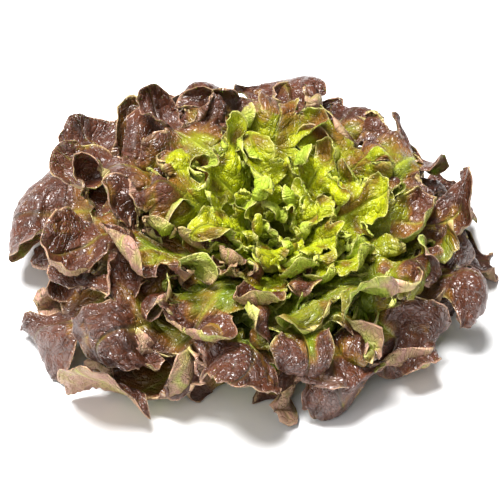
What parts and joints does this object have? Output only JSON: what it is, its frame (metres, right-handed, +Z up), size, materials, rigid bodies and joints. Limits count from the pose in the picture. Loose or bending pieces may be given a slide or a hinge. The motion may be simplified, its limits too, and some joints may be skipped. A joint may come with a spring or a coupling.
{
  "type": "red oak leaf lettuce head",
  "caption": "Whole head of red oak leaf lettuce: a low rosette of lobed, ruffled leaves, dark red outside and yellow-green at the heart, on a short cut stem.",
  "frame": {"origin": "middle of the stem's cut face, at the level of the surface that the head stands on", "axes": "+Z up, from the cut face towards the heart; -Y is the front, the side that the heart leans towards; +X is to the right seen from the front"},
  "size_m": [0.2887, 0.2758, 0.1138],
  "materials": {
    "outer_leaf": "dark red to purple-brown leaf, glossy and blistered above, paler and matte below",
    "middle_leaf": "green leaf with bronze and dark red lobes, glossy above",
    "heart_leaf": "bright yellow-green leaf with a few red tips, soft gloss",
    "stem": "pale green-white, moist cut face with a browned edge"
  },
  "bodies": {
    "root": {"stem": "stem", "outer_leaf_01": "outer_leaf", "outer_leaf_02": "outer_leaf", "outer_leaf_03": "outer_leaf", "outer_leaf_04": "outer_leaf", "outer_leaf_05": "outer_leaf", "outer_leaf_06": "outer_leaf", "outer_leaf_07": "outer_leaf", "outer_leaf_08": "outer_leaf", "outer_leaf_09": "outer_leaf", "outer_leaf_10": "outer_leaf", "outer_leaf_11": "outer_leaf", "outer_leaf_12": "outer_leaf", "outer_leaf_13": "outer_leaf", "outer_leaf_14": "outer_leaf", "outer_leaf_15": "outer_leaf", "outer_leaf_16": "outer_leaf", "outer_leaf_17": "outer_leaf", "middle_leaf_01": "middle_leaf", "middle_leaf_02": "middle_leaf", "middle_leaf_03": "middle_leaf", "middle_leaf_04": "middle_leaf", "middle_leaf_05": "middle_leaf", "middle_leaf_06": "middle_leaf", "middle_leaf_07": "middle_leaf", "middle_leaf_08": "middle_leaf", "middle_leaf_09": "middle_leaf", "middle_leaf_10": "middle_leaf", "middle_leaf_11": "middle_leaf", "middle_leaf_12": "middle_leaf", "heart_leaf_01": "heart_leaf", "heart_leaf_02": "heart_leaf", "heart_leaf_03": "heart_leaf", "heart_leaf_04": "heart_leaf", "heart_leaf_05": "heart_leaf", "heart_leaf_06": "heart_leaf", "heart_leaf_07": "heart_leaf", "heart_leaf_08": "heart_leaf", "heart_leaf_09": "heart_leaf", "heart_leaf_10": "heart_leaf", "heart_leaf_11": "heart_leaf", "heart_leaf_12": "heart_leaf", "heart_leaf_13": "heart_leaf", "heart_leaf_14": "heart_leaf", "heart_leaf_15": "heart_leaf", "heart_leaf_16": "heart_leaf", "heart_leaf_17": "heart_leaf", "heart_leaf_18": "heart_leaf", "heart_leaf_19": "heart_leaf"}
  },
  "joints": []
}
